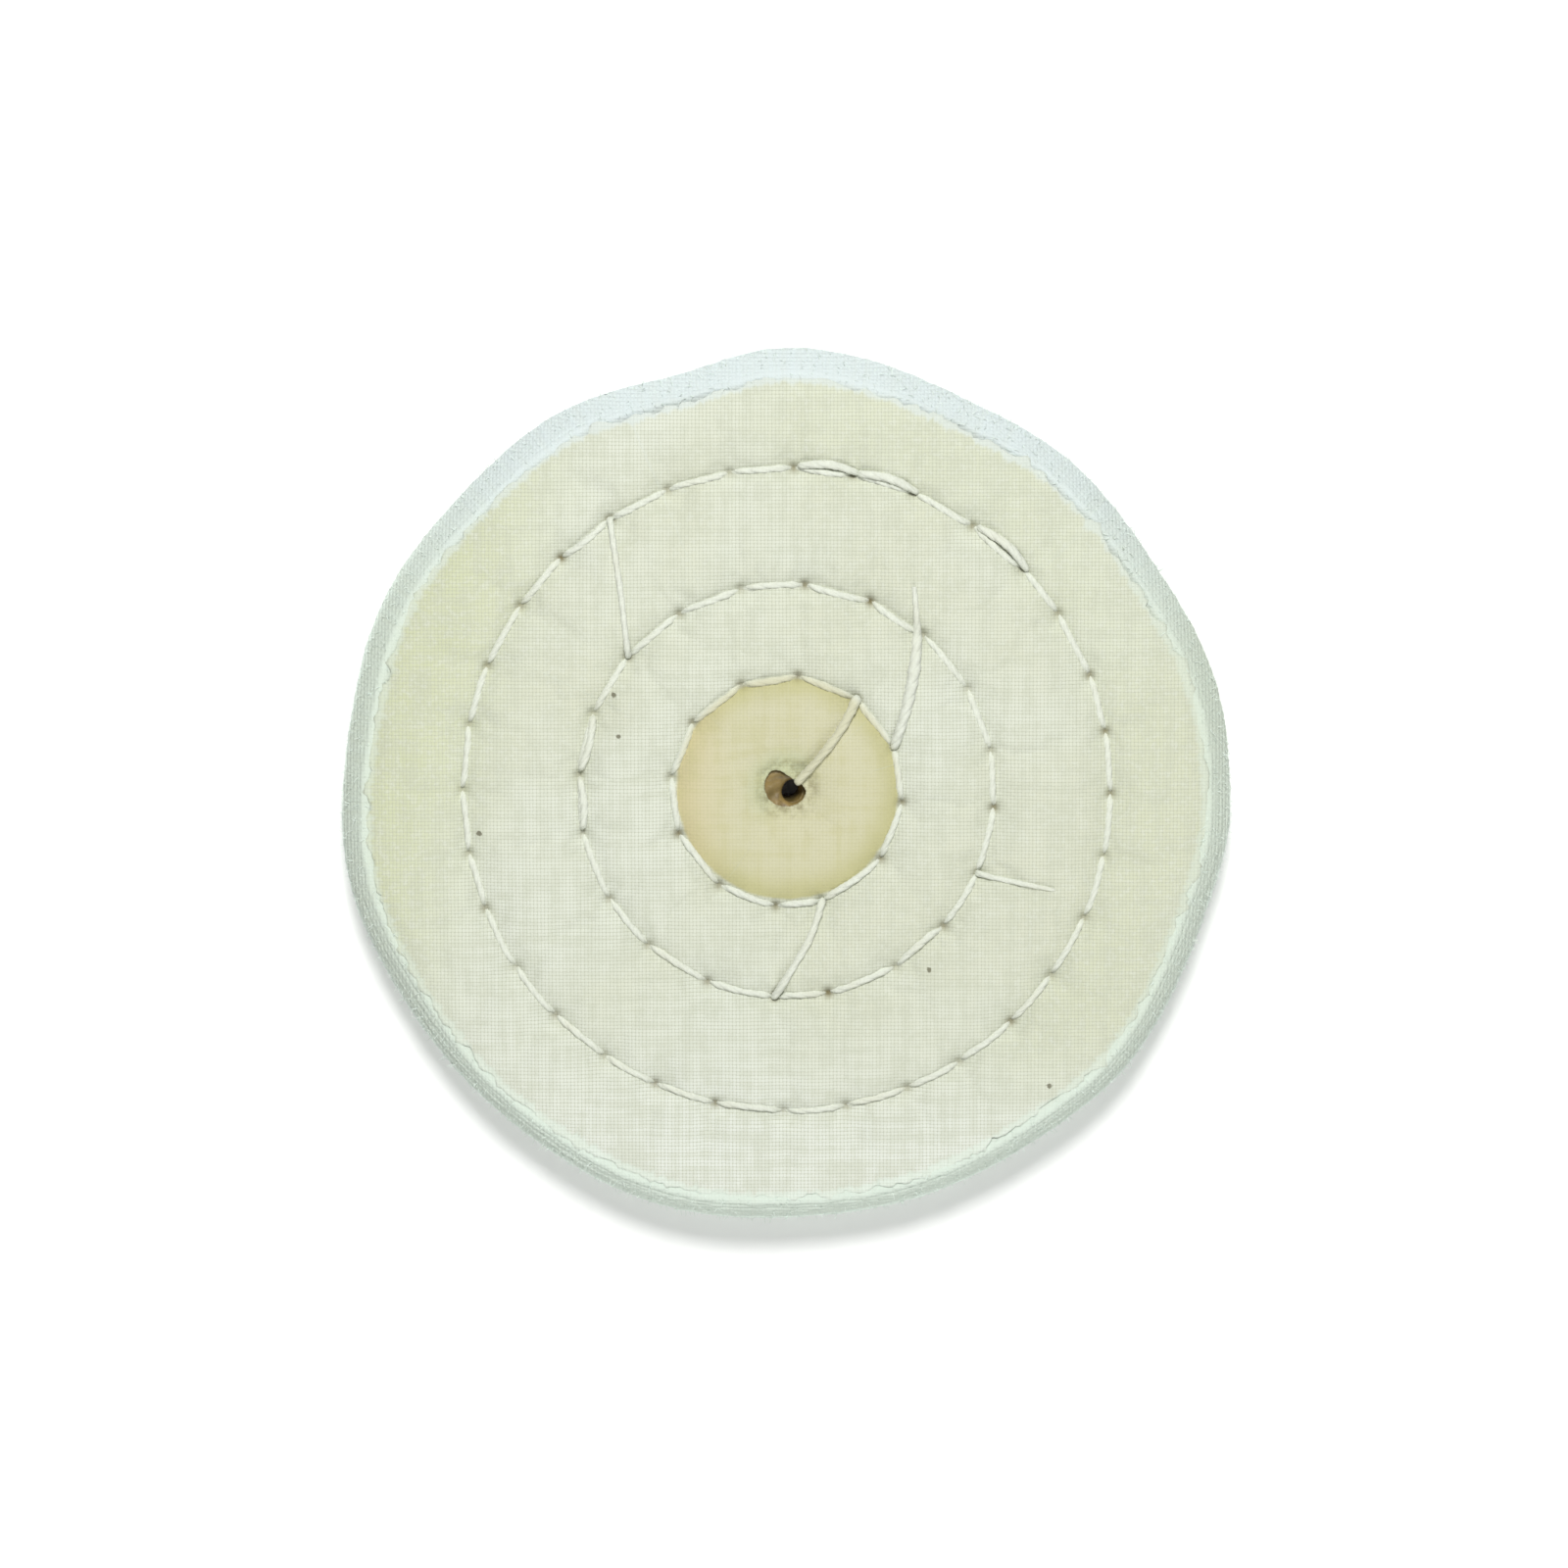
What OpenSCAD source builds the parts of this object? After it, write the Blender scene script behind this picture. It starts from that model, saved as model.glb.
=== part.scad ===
// Stitched cloth polishing wheel: die-cut cotton plies sewn into one stack by
// rings of lockstitch, with a pinhole centre hardened for a tapered spindle.
// The wheel lies flat. Its axis is Z, and the origin is on that axis at mid-thickness.

/* [Wheel] */
// Diameter over the widest plies
wheel_d = 101.6; // [98:0.2:152.4]
// Thickness of the sewn stack between its two faces
wheel_t = 10; // [8:0.5:16]
// Number of cloth plies
ply_count = 40; // [20:1:50]
// How far the rim rounds back at each face
rim_round = 3.1; // [1:0.1:4]
// How far the cut edge of a ply may fall short of its neighbours
cut_stray = 0.3; // [0:0.05:0.5]

/* [Centre] */
// Diameter of the pinhole through the hardened core
pinhole_d = 2.5; // [1.5:0.1:3]
// Diameter of the hole in the plies, which the core fills
core_d = 4.9; // [4.5:0.1:6]
// How far each face dips at the hole
centre_dip = 0.7; // [0.3:0.1:1]
// Width of the slope from the hole up to the face
dip_w = 3; // [2:0.1:3]

/* [Stitching] */
// Diameter of the sewing thread
thread_d = 0.8; // [0.5:0.05:0.9]
// Diameter of the inner ring of stitches
inner_ring_d = 27; // [24:0.5:30]
// Diameter of the middle ring of stitches
middle_ring_d = 48.4; // [44:0.2:56]
// Diameter of the outer ring of stitches
outer_ring_d = 75.4; // [68:0.2:80]
// Stitches in the inner ring
inner_stitches = 12; // [8:1:16]
// Stitches in the middle ring
middle_stitches = 20; // [14:1:26]
// Stitches in the outer ring
outer_stitches = 32; // [24:1:40]

/* [Hidden] */
$fn = 96;

// Each ring is [radius, number of stitches, bearing of its first needle hole].
// Bearings run clockwise from +Y, seen from above.
inner_ring = [inner_ring_d / 2, inner_stitches, 7];
middle_ring = [middle_ring_d / 2, middle_stitches, 6];
outer_ring = [outer_ring_d / 2, outer_stitches, 0.6];
rings = [inner_ring, middle_ring, outer_ring];

// The thread bulges where it turns, so its straight lengths meet inside a ball
knot_d = 1.45 * thread_d; // turning down into a needle hole
bend_d = 1.2 * thread_d; // slight bend in a loose length
needle_hole_d = knot_d + 0.06;
meet_gap = 0.02; // from a strand's end to mid-thickness, where it meets the other thread

// The groove that the stitches pull into each face
groove_depth = thread_d + 0.1;
groove_slope = 1.4; // width of each side
groove_margin = 0.15; // beside the thread, on the flat floor
function sag(ring) = ring[0] * (1 - cos(180 / ring[1]));
function groove_floor(ring) = max(sag(ring) + thread_d / 2, needle_hole_d / 2) + groove_margin;
function groove_reach(ring) = groove_floor(ring) + groove_slope;

// Heights above mid-thickness
face_z = wheel_t / 2;
groove_z = face_z - groove_depth;
stitch_z = groove_z + thread_d / 2;
loose_z = face_z + thread_d / 2;

// The core stops just inside the dip
core_inset = 0.2;
core_len = 2 * (face_z - centre_dip - core_inset);
thread_end_r = pinhole_d / 2 + 0.7; // the loose end at the centre stays off the pinhole

// Loose lengths of the upper thread start and end at the needle hole nearest a bearing
centre_end = [37, 46]; // at the inner ring and beside the pinhole
long_tail_bearing = 67;
short_tail_bearing = 114;
first_crossing = [162, 182]; // inner ring to middle ring
second_crossing = [311, 327]; // middle ring to outer ring
// Turning points of the two tails, as [radius, bearing]
long_tail = [[16.2, 64], [23.7, 41], [28, 32]];
short_tail = [[26.8, 113], [33, 110]];

stray_turn = 137.5; // spreads the stray evenly over neighbouring plies
middle_ply = floor(ply_count / 2);

cloth_colour = [0.86, 0.86, 0.78];
shellac_colour = [0.52, 0.38, 0.2];
thread_colour = [0.95, 0.95, 0.91];

function ply_name(i) = str("ply_", i < 10 ? "0" : "", i);

// A point at a radius and a bearing
function at(r, bearing, z = 0) = [r * sin(bearing), r * cos(bearing), z];

// Half the stack's thickness, as [radius, height] from the hole out to the last groove
face_line = concat(
    [[core_d / 2, face_z - centre_dip], [core_d / 2 + dip_w, face_z]],
    [for (ring = rings) each [
        [ring[0] - groove_reach(ring), face_z],
        [ring[0] - groove_floor(ring), groove_z],
        [ring[0] + groove_floor(ring), groove_z],
        [ring[0] + groove_reach(ring), face_z]
    ]]
);

// The stack's rim is round in section, and each ply's cut edge strays a little inside it
function rim_step(i) = let (u = abs(2 * i / (ply_count - 1) - 1)) rim_round * (1 - sqrt(1 - u * u));
function stray(i) = cut_stray * (0.5 - 0.5 * cos(stray_turn * (i - middle_ply)));
function ply_r(i) = wheel_d / 2 - rim_step(i) - stray(i);

// Share of the half thickness reached at the underside of a ply, counted from 0
function level(i) = 2 * i / ply_count - 1;

function reversed(points) = [for (i = [len(points) - 1 : -1 : 0]) points[i]];

// Plies share the thickness equally at every radius, so that each lies on the next
module ply(number) {
    i = number - 1;
    line = concat(face_line, [[ply_r(i), face_z]]);
    under = [for (p = line) [p[0], p[1] * level(i)]];
    over = [for (p = line) [p[0], p[1] * level(i + 1)]];
    color(cloth_colour) difference() {
        rotate_extrude() polygon(concat(under, reversed(over)));
        for (ring = rings) needle_holes(ring);
    }
}

function hole_bearing(ring, i) = ring[2] + i * 360 / ring[1];

module needle_holes(ring)
    for (i = [0 : ring[1] - 1])
        translate(at(ring[0], hole_bearing(ring, i), -wheel_t))
            cylinder(h = 2 * wheel_t, d = needle_hole_d);

// The hardened lining of the hole, with the pinhole down its middle
module shellac_core()
    color(shellac_colour) difference() {
        cylinder(h = core_len, d = core_d, center = true);
        cylinder(h = wheel_t, d = pinhole_d, center = true);
    }

// A straight length of thread, with a ball at its end if another length bends away from it
module run(a, b, ball_d = 0) {
    d = b - a;
    translate(a) rotate([0, acos(d[2] / norm(d)), atan2(d[1], d[0])]) {
        cylinder(h = norm(d), d = thread_d);
        if (ball_d > 0) translate([0, 0, norm(d)]) sphere(d = ball_d);
    }
}

// A ring of stitches on the upper face, with a strand down every needle hole
module stitch_ring(ring)
    for (i = [0 : ring[1] - 1]) {
        here = at(ring[0], hole_bearing(ring, i), stitch_z);
        translate(here) sphere(d = knot_d);
        run(here, at(ring[0], hole_bearing(ring, i + 1), stitch_z));
        run(here, [here[0], here[1], meet_gap]);
    }

// Where the thread comes up, at the needle hole nearest a bearing
function hole_near(ring, bearing) =
    let (i = round((bearing - ring[2]) * ring[1] / 360))
    at(ring[0], hole_bearing(ring, i), stitch_z);

// A loose length of thread through a list of points
module loose_thread(points)
    for (i = [1 : len(points) - 1])
        run(points[i - 1], points[i], i < len(points) - 1 ? bend_d : 0);

// Thread carried over the face from one ring to the next
module crossing(inner, outer, bearings) {
    from = hole_near(inner, bearings[0]);
    to = hole_near(outer, bearings[1]);
    way = (to - from) / norm(to - from);
    lift = [0, 0, loose_z - stitch_z];
    loose_thread([
        from,
        from + groove_reach(inner) * way + lift,
        to - groove_reach(outer) * way + lift,
        to
    ]);
}

// The end at the centre runs down the dip beside the pinhole
module end_at_centre()
    loose_thread([
        hole_near(inner_ring, centre_end[0]),
        at(inner_ring[0] - groove_reach(inner_ring), centre_end[0], loose_z),
        at(core_d / 2 + dip_w, centre_end[0], loose_z),
        at(thread_end_r, centre_end[1], loose_z - centre_dip)
    ]);

module tail(ring, bearing, turning_points)
    loose_thread(concat(
        [hole_near(ring, bearing)],
        [for (p = turning_points) at(p[0], p[1], loose_z)]
    ));

// The upper thread is one length: the three rings, the crossings between them and its ends
module needle_thread()
    color(thread_colour) {
        for (ring = rings) stitch_ring(ring);
        crossing(inner_ring, middle_ring, first_crossing);
        crossing(middle_ring, outer_ring, second_crossing);
        end_at_centre();
        tail(inner_ring, long_tail_bearing, long_tail);
        tail(middle_ring, short_tail_bearing, short_tail);
    }

// The lower thread is trimmed between the rings, so each ring of it is a length of its own
module bobbin_thread(ring)
    color(thread_colour) mirror([0, 0, 1]) stitch_ring(ring);

for (i = [1 : ply_count])
    ply(i);
shellac_core();
needle_thread();
bobbin_thread(inner_ring);  // bobbin_thread_inner
bobbin_thread(middle_ring);  // bobbin_thread_middle
bobbin_thread(outer_ring);  // bobbin_thread_outer
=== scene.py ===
import math

import bpy
import numpy as np
from mathutils import Matrix, Vector


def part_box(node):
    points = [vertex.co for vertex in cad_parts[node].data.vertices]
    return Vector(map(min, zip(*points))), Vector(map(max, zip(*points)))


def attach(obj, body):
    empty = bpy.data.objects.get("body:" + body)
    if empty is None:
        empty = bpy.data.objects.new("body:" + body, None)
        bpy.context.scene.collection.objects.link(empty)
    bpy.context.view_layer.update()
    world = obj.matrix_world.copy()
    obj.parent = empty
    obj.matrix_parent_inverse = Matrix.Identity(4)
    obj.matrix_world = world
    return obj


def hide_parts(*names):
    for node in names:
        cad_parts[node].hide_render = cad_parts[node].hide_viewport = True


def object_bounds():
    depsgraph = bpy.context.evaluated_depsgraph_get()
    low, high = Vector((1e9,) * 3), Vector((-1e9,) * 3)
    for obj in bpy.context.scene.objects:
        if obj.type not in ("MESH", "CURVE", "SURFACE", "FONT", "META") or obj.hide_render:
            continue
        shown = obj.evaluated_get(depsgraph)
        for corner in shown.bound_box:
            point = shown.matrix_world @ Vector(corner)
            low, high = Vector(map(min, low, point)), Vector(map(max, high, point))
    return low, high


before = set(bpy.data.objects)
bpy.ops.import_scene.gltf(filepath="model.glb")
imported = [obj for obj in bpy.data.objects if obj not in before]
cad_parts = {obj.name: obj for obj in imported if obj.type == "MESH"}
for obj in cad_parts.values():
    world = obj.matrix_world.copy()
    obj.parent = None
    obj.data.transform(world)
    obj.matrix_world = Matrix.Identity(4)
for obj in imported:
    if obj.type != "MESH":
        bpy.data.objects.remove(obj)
cadLow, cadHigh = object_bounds()
mm = 0.001
plyNames = sorted(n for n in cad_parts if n.startswith("ply_"))
print("frame loaded:", len(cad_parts), "nodes,", len(plyNames), "plies")

# camera, stage and light
stageSpec = {
    "lens": 130.0,              # mm, long enough to keep the wheel flat
    "tilt": 7.0,                # degrees past straight down, towards the near edge
    "viewWidth": 182.6,         # mm across the picture at the wheel's face
    "lookAt": (-0.3, 0.75, 3.0),  # mm
    "floorSize": 3.0,           # m
    "floorColour": (0.93, 0.93, 0.92),
    "worldStrength": 0.38,
    "keyPlace": (0.0, 0.46, 0.71),
    "keySize": 0.26,
    "keyPower": 6.9,
    "fillPlace": (0.1, -0.9, 0.27),
    "fillSize": 0.6,
    "fillPower": 5.4,
}


def makeCamera(spec):
    data = bpy.data.cameras.new("camera")
    data.lens = spec["lens"]
    data.sensor_width = 36.0
    data.clip_start = 0.01
    camera = bpy.data.objects.new("camera", data)
    bpy.context.scene.collection.objects.link(camera)
    distance = spec["viewWidth"] * mm * spec["lens"] / data.sensor_width
    tilt = math.radians(spec["tilt"])
    back = Vector((0, math.sin(tilt), math.cos(tilt)))
    up = Vector((0, math.cos(tilt), -math.sin(tilt)))
    right = up.cross(back)
    place = Vector(spec["lookAt"]) * mm + back * distance
    camera.matrix_world = Matrix.Translation(place) @ Matrix((right, up, back)).transposed().to_4x4()
    bpy.context.scene.camera = camera


def makeAreaLight(name, place, size, power):
    data = bpy.data.lights.new(name, "AREA")
    data.shape = "DISK"
    data.size = size
    data.energy = power
    light = bpy.data.objects.new(name, data)
    bpy.context.scene.collection.objects.link(light)
    place = Vector(place)
    light.matrix_world = Matrix.Translation(place) @ place.to_track_quat("Z", "Y").to_matrix().to_4x4()


makeCamera(stageSpec)
makeAreaLight("keyLight", stageSpec["keyPlace"], stageSpec["keySize"], stageSpec["keyPower"])
makeAreaLight("fillLight", stageSpec["fillPlace"], stageSpec["fillSize"], stageSpec["fillPower"])
world = bpy.data.worlds.new("studio")
world.use_nodes = True
world.node_tree.nodes["Background"].inputs["Color"].default_value = (1, 1, 1, 1)
world.node_tree.nodes["Background"].inputs["Strength"].default_value = stageSpec["worldStrength"]
bpy.context.scene.world = world
bpy.context.scene.view_settings.view_transform = "Standard"
print("camera and lights placed")

# shader maths

class Wire:  # a socket's value in a shader

    def __init__(self, paint, socket):
        self.paint = paint
        self.socket = socket

    def math(self, operation, *others):
        return self.paint.node("ShaderNodeMath", {"operation": operation}, dict(enumerate((self,) + others)))

    def __add__(self, other):
        return self.math("ADD", other)

    def __radd__(self, other):
        return self.math("ADD", other)

    def __sub__(self, other):
        return self.math("SUBTRACT", other)

    def __rsub__(self, other):
        return self.paint.node("ShaderNodeMath", {"operation": "SUBTRACT"}, {0: other, 1: self})

    def __mul__(self, other):
        return self.math("MULTIPLY", other)

    def __rmul__(self, other):
        return self.math("MULTIPLY", other)

    def __truediv__(self, other):
        return self.math("DIVIDE", other)


class Paint:  # a material and the nodes that make it

    def __init__(self, name):
        self.material = bpy.data.materials.new(name)
        self.material.use_nodes = True
        self.tree = self.material.node_tree
        self.tree.nodes.clear()
        self.position = self.node("ShaderNodeTexCoord", out="Object")

    def node(self, kind, settings=None, inputs=None, out=0):
        made = self.tree.nodes.new(kind)
        for key, value in (settings or {}).items():
            setattr(made, key, value)
        for key, value in (inputs or {}).items():
            if isinstance(value, Wire):
                self.tree.links.new(value.socket, made.inputs[key])
            else:
                made.inputs[key].default_value = value
        return Wire(self, made.outputs[out]) if made.outputs else None

    def split(self, vector):
        made = self.tree.nodes.new("ShaderNodeSeparateXYZ")
        self.tree.links.new(vector.socket, made.inputs[0])
        return [Wire(self, made.outputs[k]) for k in range(3)]

    def noise(self, scale, detail=2.0, rough=0.5, vector=None):
        return self.node("ShaderNodeTexNoise", None, {
            "Vector": vector or self.position, "Scale": scale, "Detail": detail, "Roughness": rough})

    def stretched(self, scales):
        return self.node("ShaderNodeVectorMath", {"operation": "MULTIPLY"}, {0: self.position, 1: scales})

    def mix(self, factor, a, b):
        def colour(c):
            return c if isinstance(c, Wire) else (*c, 1.0)
        colours = {0: factor, 6: colour(a), 7: colour(b)}
        return self.node("ShaderNodeMix", {"data_type": "RGBA"}, colours, out=2)

    def step(self, value, low, high):
        return self.node("ShaderNodeMapRange", {"interpolation_type": "SMOOTHSTEP"},
                         {"Value": value, "From Min": low, "From Max": high})

    def span(self, value, ends):  # the same step, between two lengths in mm
        return self.step(value, ends[0] * mm, ends[1] * mm)

    def attribute(self, name):
        return self.node("ShaderNodeAttribute", {"attribute_name": name}, out="Fac")

    def finish(self, colour, roughness, height, bumpDistance, sockets):
        bump = self.node("ShaderNodeBump", None,
                         {"Strength": 1.0, "Distance": bumpDistance, "Height": height}, out="Normal")
        shader = self.node("ShaderNodeBsdfPrincipled", None,
                           {"Base Color": colour, "Roughness": roughness, "Normal": bump, **sockets})
        self.node("ShaderNodeOutputMaterial", None, {"Surface": shader})
        return self.material


def srgb(r, g, b):  # linear values of a colour given in 0 to 255
    return tuple(((c / 255 + 0.055) / 1.055) ** 2.4 if c > 10 else c / 255 / 12.92 for c in (r, g, b))


# materials
weaveSpec = {
    "pitch": 0.42,      # mm from yarn to yarn
    "wander": 0.16,     # mm that a yarn strays from straight
    "relief": 0.04,     # mm from yarn top to gap
}
clothSpec = {
    "light": srgb(206, 210, 196),
    "dark": srgb(188, 192, 173),
    "warm": srgb(200, 203, 183),
    # painted shade: the gap colour darkens the hollows between the yarns
    "gap": srgb(176, 179, 158),
    "rim": srgb(199, 209, 194),
    # painted light on the rim's near side
    "rimNearLight": srgb(211, 223, 211),
    "rimFar": srgb(205, 215, 214),
    # painted light on the lower plies of the rim's sides turned from the light, and a milder one on the upper
    # plies
    "rimTurnedLight": srgb(234, 246, 236),
    "rimTurnedUpperLight": srgb(203, 214, 201),
    "pale": srgb(214, 218, 209),
    "aged": srgb(193, 198, 165),   # where the left of the face has yellowed
    "stain": srgb(194, 192, 162),
    "stainEdge": srgb(178, 175, 126),
    "stainWarm": srgb(196, 183, 143),
    # painted shade over the stain, on the upper left side of the dip round the hole
    "stainDipShade": srgb(178, 188, 150),
    "stainRadius": 12.9,   # mm
    "stainCentre": (0.1, 0.35),  # mm
    # dark olive: the shellac stain at the hole's lip, and painted shade in the needle holes
    "holeStainAndShade": srgb(108, 98, 62),
    "husk": srgb(92, 88, 66),
    "husks": [(-20.0, 11.4), (-19.5, 6.6), (-35.7, -4.8), (16.6, -20.8), (30.7, -34.5)],  # mm
    "huskRadius": 0.36,    # mm
    # from where to where each tone comes in, in mm
    "agedSpan": (29, 46),
    "handledSpan": (33, 42),
    "handledSideSpan": (0, 22),
    "paleSpan": (24, 44),
    "stainLowSpan": (-6, 11),
    "stainDipShadeSpan": (2.5, 6.0),
    "stainDipShadeSideSpan": (-3, 3),
    "stainWarmSpan": (5, 12),
    "lipSpan": (2.4, 4.4),
    "rimFarSpan": (12, 44),
    "rimNearLightSpan": (18, 44),
    "turnedSpan": (-4, 30),
    "upperSpan": (1.2, 3.4),
    "boreSpan": (3.2, 5.5),
}


def weave(paint, spec):  # height of a plain weave, from 0 in the gaps to 1 on the yarns' crowns
    x, y, _ = paint.split(paint.position)
    bendX = paint.noise(90.0, 3.0, vector=paint.stretched((1, 0.35, 1))) - 0.5
    bendY = paint.noise(90.0, 3.0, vector=paint.stretched((0.35, 1, 1))) - 0.5
    u = (x + bendX * (spec["wander"] * mm)) / (spec["pitch"] * mm)
    v = (y + bendY * (spec["wander"] * mm)) / (spec["pitch"] * mm)
    cell = (u.math("FLOOR") + v.math("FLOOR")).math("MODULO", 2.0).math("ABSOLUTE")
    acrossU = (u.math("FRACT") * math.pi).math("SINE")
    acrossV = (v.math("FRACT") * math.pi).math("SINE")
    warp = acrossU.math("POWER", 0.7) * (acrossV * 0.5 + 0.5)
    weft = acrossV.math("POWER", 0.7) * (acrossU * 0.5 + 0.5)
    return cell * warp + (1 - cell) * weft


def fromAxis(x, y):
    return (x * x + y * y).math("SQRT")


def fromPoint(x, y, centre):  # distance in the wheel's plane from a point in mm
    cx, cy = centre
    return ((x - cx * mm).math("POWER", 2.0) + (y - cy * mm).math("POWER", 2.0)).math("SQRT")


# the shellac stain round the hole, with painted shade in the dip at the hole and in the weave's hollows:
# returns the colour over it, and how stained each point is
def stainCentre(paint, x, y, slub, height, colour):
    spec = clothSpec
    out = fromPoint(x, y, spec["stainCentre"]) + (paint.noise(260.0, 3.0, 0.6) - 0.5) * (0.9 * mm)
    edge = spec["stainRadius"] * mm
    stained = 1 - paint.step(out, edge - 0.25 * mm, edge + 0.25 * mm)
    towardsEdge = paint.step(out, edge * 0.74, edge * 1.02) * 0.85
    tone = paint.mix(towardsEdge, spec["stain"], spec["stainEdge"])
    low = paint.span(x * 0.45 - y, spec["stainLowSpan"]) * paint.step(out, edge * 0.55, edge)
    tone = paint.mix(low * 0.42, tone, spec["stainEdge"])
    # painted shade: the dip round the hole is darker and greener on its upper left side
    greenSide = paint.span(x * -1.0 + y, spec["stainDipShadeSideSpan"])
    green = (1 - paint.span(out, spec["stainDipShadeSpan"])) * greenSide
    tone = paint.mix(green * 0.6, tone, spec["stainDipShade"])
    tone = paint.mix(paint.span(x * -1.0, spec["stainWarmSpan"]) * 0.55, tone, spec["stainWarm"])
    tone = paint.mix(paint.step(slub, 0.42, 0.66) * 0.35, tone, spec["stainEdge"])
    # painted shade in the hollows between the yarns over the stain
    tone = paint.mix((1 - paint.step(height, 0.05, 0.5)) * 0.5, tone, spec["stainEdge"])
    colour = paint.mix(stained, colour, tone)
    lip = (1 - paint.span(out, spec["lipSpan"])) * paint.step(paint.noise(620.0, 4.0, 0.7), 0.4, 0.66)
    return paint.mix(lip * 0.6, colour, spec["holeStainAndShade"]), stained


def addHusks(paint, x, y, colour):  # specks of seed husk left in the yarn
    radius = clothSpec["huskRadius"] * mm
    for place in clothSpec["husks"]:
        away = fromPoint(x, y, place) + (paint.noise(2600.0) - 0.5) * (0.5 * mm)
        speck = (1 - paint.step(away, radius * 0.6, radius)) * 0.8
        colour = paint.mix(speck, colour, clothSpec["husk"])
    return colour


def rimToneAndLight(paint, x, y, z, face, streak):  # colour of the cut edge, with painted light on the near side and on the sides turned from the light, and how much of it shows at each point
    spec = clothSpec
    rim = paint.attribute("cutEdge")
    tone = paint.mix(paint.span(y, spec["rimFarSpan"]), spec["rim"], spec["rimFar"])
    # painted light: the rim's near side is painted lighter
    tone = paint.mix(paint.span(y * -1.0, spec["rimNearLightSpan"]), tone, spec["rimNearLight"])
    if face:
        return tone, paint.step(rim + (streak - 0.5) * 1.5, 0.18, 0.62) * 0.55
    turned = 1 - paint.span(y + x * 0.3, spec["turnedSpan"])   # painted light: the sides turned away from the light are painted palest, to lift their shade
    upper = paint.span(z, spec["upperSpan"])
    tone = paint.mix(turned * (1 - upper), tone, spec["rimTurnedLight"])
    # milder painted light on the upper plies of the turned sides
    tone = paint.mix(turned * upper * 0.6, tone, spec["rimTurnedUpperLight"])
    return tone, rim * (0.7 + streak * 0.5)


# unbleached cotton. face is the ply's outer side, which carries the stain, the needle holes and their painted
# shade
def makeCloth(name, face):
    spec = clothSpec
    paint = Paint(name)
    x, y, z = paint.split(paint.position)
    height = weave(paint, weaveSpec)
    slubWarp = paint.noise(900.0, 2.0, vector=paint.stretched((1, 0.14, 1)))
    slubWeft = paint.noise(900.0, 2.0, vector=paint.stretched((0.14, 1, 1)))
    slub = slubWarp * 0.5 + slubWeft * 0.5
    patch = paint.noise(38.0, 3.0, 0.6)
    speck = paint.noise(1500.0, 2.0, 0.7)
    colour = paint.mix(paint.step(patch, 0.38, 0.66), spec["light"], spec["warm"])
    handledSide = paint.span(x + y * 0.3, spec["handledSideSpan"])
    handled = paint.span(fromAxis(x, y), spec["handledSpan"]) * handledSide
    colour = paint.mix(paint.span(x * -1.0 + y * 0.25, spec["agedSpan"]), colour, spec["aged"])
    colour = paint.mix(handled * 0.4, colour, spec["aged"])
    colour = paint.mix(paint.span(y * -1.0, spec["paleSpan"]) * 0.8, colour, spec["pale"])
    colour = paint.mix(paint.step(slub, 0.4, 0.62) * 0.5, colour, spec["dark"])
    colour = paint.mix(paint.step(speck, 0.45, 0.7) * 0.5, colour, spec["light"])
    # painted shade in the hollows between the yarns
    colour = paint.mix(1 - paint.step(height, 0.08, 0.55), colour, spec["gap"])
    roughness = 0.92 - height * 0.08
    if face:
        colour, stained = stainCentre(paint, x, y, slub, height, colour)
        roughness = roughness - stained * 0.12
        # painted shade in the needle holes
        colour = paint.mix(paint.attribute("needleHole"), colour, spec["holeStainAndShade"])
        colour = addHusks(paint, x, y, colour)
    flattened = paint.stretched((1, 1, 0.02))
    around = paint.node("ShaderNodeVectorMath", {"operation": "NORMALIZE"}, {0: flattened})
    streak = paint.noise(46.0, 3.0, 0.65, vector=around)   # the same along each radius, so it frays outwards
    tone, rim = rimToneAndLight(paint, x, y, z, face, streak)
    colour = paint.mix(rim, colour, tone)
    if not face:
        colour = paint.mix(1 - paint.span(fromAxis(x, y), spec["boreSpan"]), colour, spec["holeStainAndShade"])
    bumpHeight = height + slub * 0.8 + rim * streak * 2.5
    return paint.finish(colour, roughness, bumpHeight, weaveSpec["relief"] * mm,
                        {"Sheen Weight": 0.25, "Sheen Roughness": 0.5, "Specular IOR Level": 0.15})


def makeThread(name, tone):
    paint = Paint(name)
    x, y, _ = paint.split(paint.position)
    fibre = paint.noise(2400.0, 3.0, 0.6)
    worn = paint.noise(160.0, 2.0)
    colour = paint.mix(paint.step(fibre, 0.35, 0.7) * 0.35, tone, srgb(190, 193, 176))
    colour = paint.mix(paint.step(worn, 0.5, 0.75) * 0.3, colour, srgb(204, 204, 182))
    out = fromAxis(x, y) - y * 0.07   # the stain reaches over the far stitches
    edge = clothSpec["stainRadius"] * mm
    stained = 1 - paint.step(out, edge - 0.8 * mm, edge + 0.4 * mm)
    colour = paint.mix(stained * 0.85, colour, clothSpec["stain"])
    return paint.finish(colour, 0.8 + fibre * 0.15, fibre, 0.03 * mm,
                        {"Sheen Weight": 0.3, "Specular IOR Level": 0.2})


def makeShellac(name):
    paint = Paint(name)
    grain = paint.noise(700.0, 4.0, 0.6)
    depth = paint.noise(240.0, 2.0)
    colour = paint.mix(paint.step(depth, 0.35, 0.65), srgb(144, 122, 72), srgb(102, 88, 48))
    colour = paint.mix(paint.step(grain, 0.5, 0.75) * 0.6, colour, srgb(70, 58, 36))
    return paint.finish(colour, 0.32 + grain * 0.3, grain + depth, 0.18 * mm, {"Specular IOR Level": 0.5})


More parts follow.
